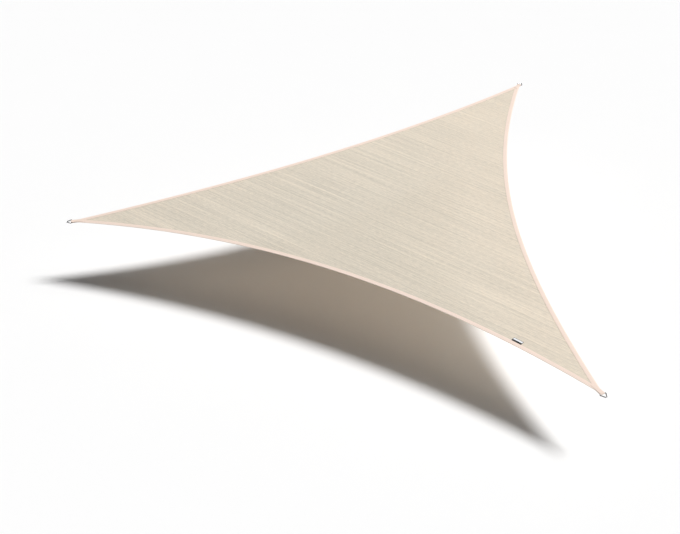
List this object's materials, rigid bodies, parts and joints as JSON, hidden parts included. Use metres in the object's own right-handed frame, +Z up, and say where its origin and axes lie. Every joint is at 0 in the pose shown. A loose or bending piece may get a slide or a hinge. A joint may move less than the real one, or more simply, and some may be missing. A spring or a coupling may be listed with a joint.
{
  "type": "triangular shade sail",
  "caption": "Taut triangular shade sail with hollow-cut sides, a folded tape band along each side and a webbing loop with a steel ring at each corner.",
  "frame": {"origin": "where a fixing bears in the left corner's ring: on the inner face of its point, at the middle of the wire", "axes": "+X along the front side towards the right corner, +Y level and away from the front side towards the back corner, +Z up as the sail hangs"},
  "size_m": [5.0416, 4.3464, 0.5066],
  "materials": {
    "cloth": "knitted sand-coloured shade cloth, slightly see-through",
    "band": "close-woven pale peach tape",
    "webbing": "pale woven webbing",
    "steel": "polished stainless wire",
    "label": "smooth white woven label with a dark stripe"
  },
  "bodies": {
    "root": {"sail_cloth": "cloth", "edge_band_front": "band", "edge_band_right": "band", "edge_band_left": "band", "corner_loop_left": "webbing", "corner_loop_right": "webbing", "corner_loop_back": "webbing", "ring_left": "steel", "ring_right": "steel", "ring_back": "steel", "label": "label"}
  },
  "joints": []
}
